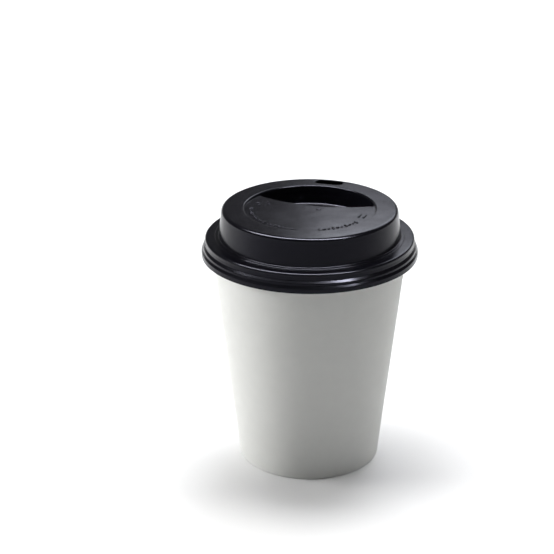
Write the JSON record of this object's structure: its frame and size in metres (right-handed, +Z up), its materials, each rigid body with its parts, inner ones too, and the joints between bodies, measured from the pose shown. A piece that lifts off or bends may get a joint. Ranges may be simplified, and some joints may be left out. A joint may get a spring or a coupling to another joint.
{
  "type": "paper coffee cup",
  "caption": "Tapered paper hot-drink cup with rolled rim and folded foot, closed by a raised plastic sip lid that grips its rim.",
  "frame": {"origin": "middle of the ring that the cup stands on, at table level", "axes": "+Z up along the cup's axis, +Y from the axis towards the lid's sip hole, +X to the drinker's right seen from the side opposite the sip hole"},
  "size_m": [0.0848, 0.0848, 0.1048],
  "materials": {
    "cup_board": "matte",
    "lid_plastic": "satin"
  },
  "bodies": {
    "cup": {"cup_wall": "cup_board", "cup_base": "cup_board"},
    "lid": {"lid": "lid_plastic"}
  },
  "joints": [
    {"name": "lid_pull", "type": "slide", "parent": "cup", "child": "lid", "axis": [0, 0, 1], "range_m": [0, 0.04]}
  ]
}
